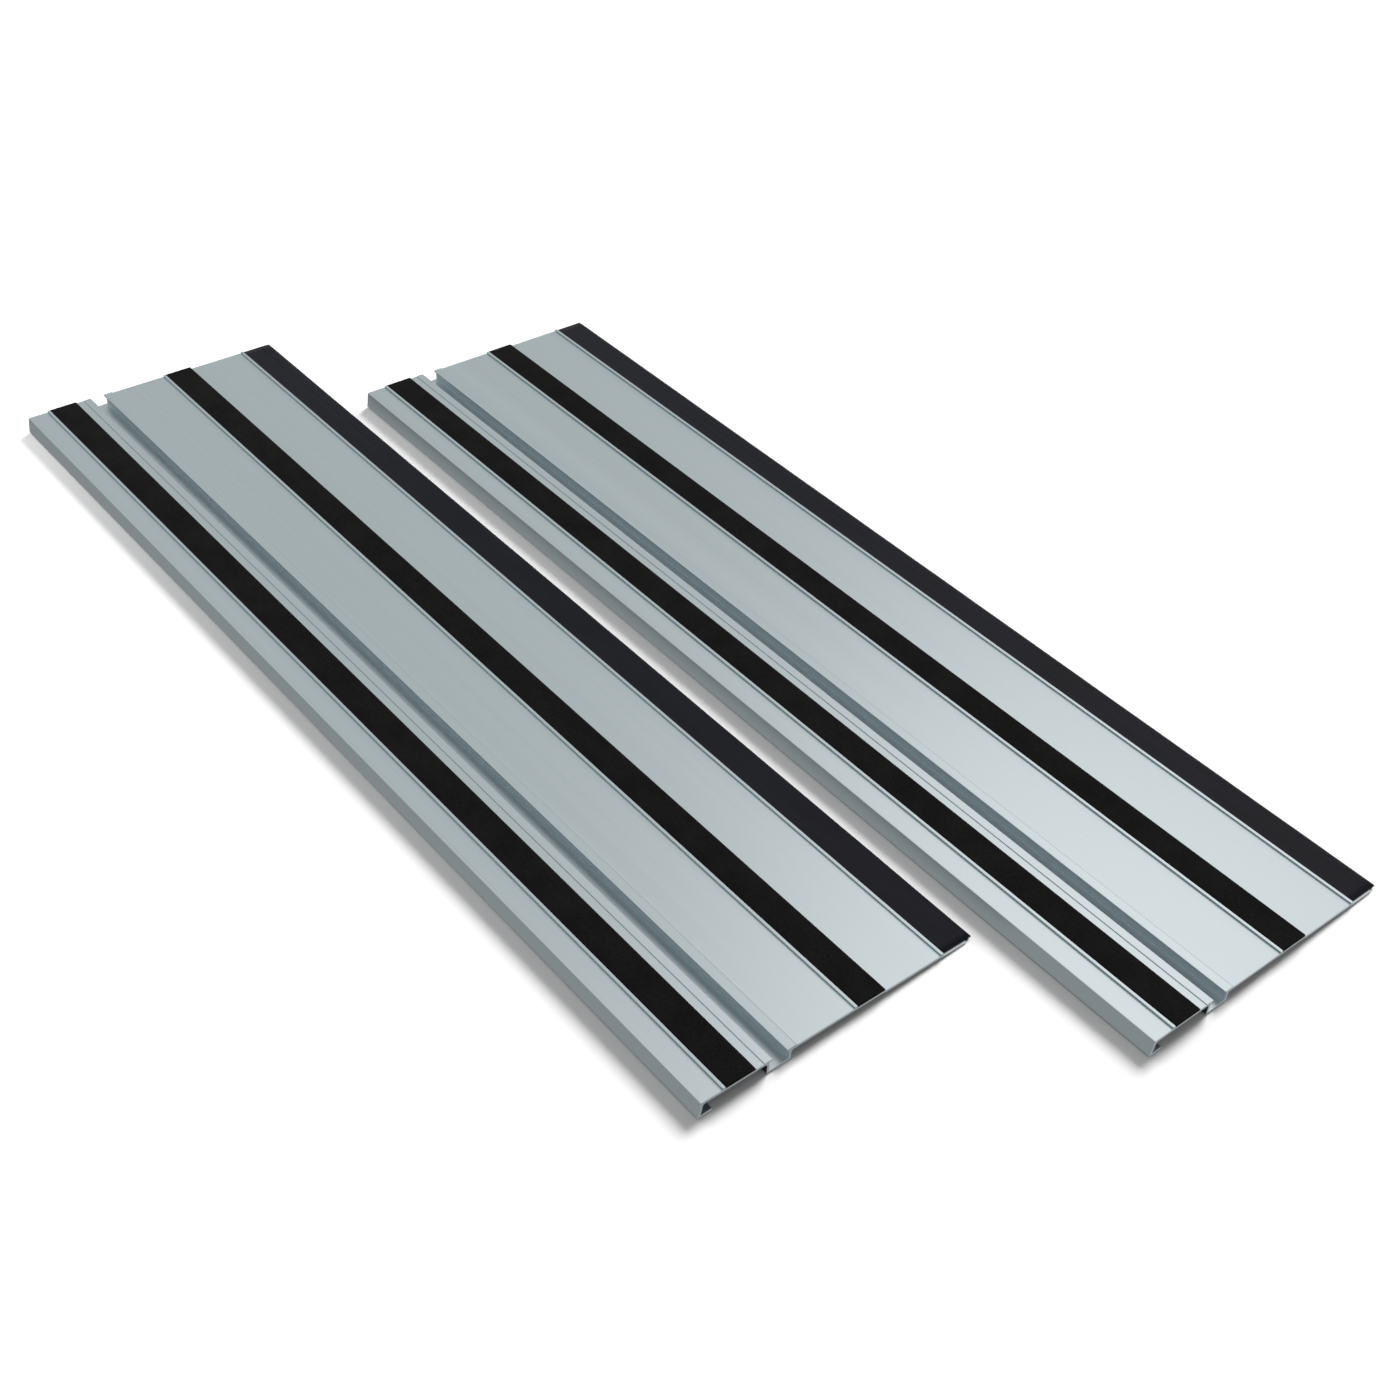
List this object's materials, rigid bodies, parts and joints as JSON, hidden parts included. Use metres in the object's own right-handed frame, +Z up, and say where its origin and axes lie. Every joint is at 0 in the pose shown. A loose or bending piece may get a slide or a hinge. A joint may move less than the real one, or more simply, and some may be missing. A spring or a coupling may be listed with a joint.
{
  "type": "portable wheelchair ramp",
  "caption": "Low portable threshold ramp for wheelchairs: wide aluminium panels with a skirt, lengthwise mounting channel, black grip strips and a rubber lip at the floor.",
  "frame": {"origin": "centre of the footprint of the two panels, on the floor they lie on", "axes": "+X along the panels, +Y down the slope from the skirts towards the rubber lips, +Z up"},
  "size_m": [1.094, 0.511, 0.0157],
  "materials": {
    "anodised_aluminium": "satin natural anodised, with faint lengthwise extrusion lines",
    "grit_strip": "matt black grit",
    "lip_rubber": "smooth extruded rubber with a soft sheen",
    "pad_rubber": "matt rubber"
  },
  "bodies": {
    "left_panel": {"left_deck_profile": "anodised_aluminium", "left_upper_grip": "grit_strip", "left_lower_grip": "grit_strip", "left_rubber_lip": "lip_rubber", "left_skirt_pad": "pad_rubber", "left_channel_pad": "pad_rubber"},
    "right_panel": {"right_deck_profile": "anodised_aluminium", "right_upper_grip": "grit_strip", "right_lower_grip": "grit_strip", "right_rubber_lip": "lip_rubber", "right_skirt_pad": "pad_rubber", "right_channel_pad": "pad_rubber"}
  },
  "joints": [
    {"name": "panel_spacing", "type": "slide", "parent": "left_panel", "child": "right_panel", "axis": [0, 1, 0], "range_m": [-0.012, 0.3]}
  ]
}
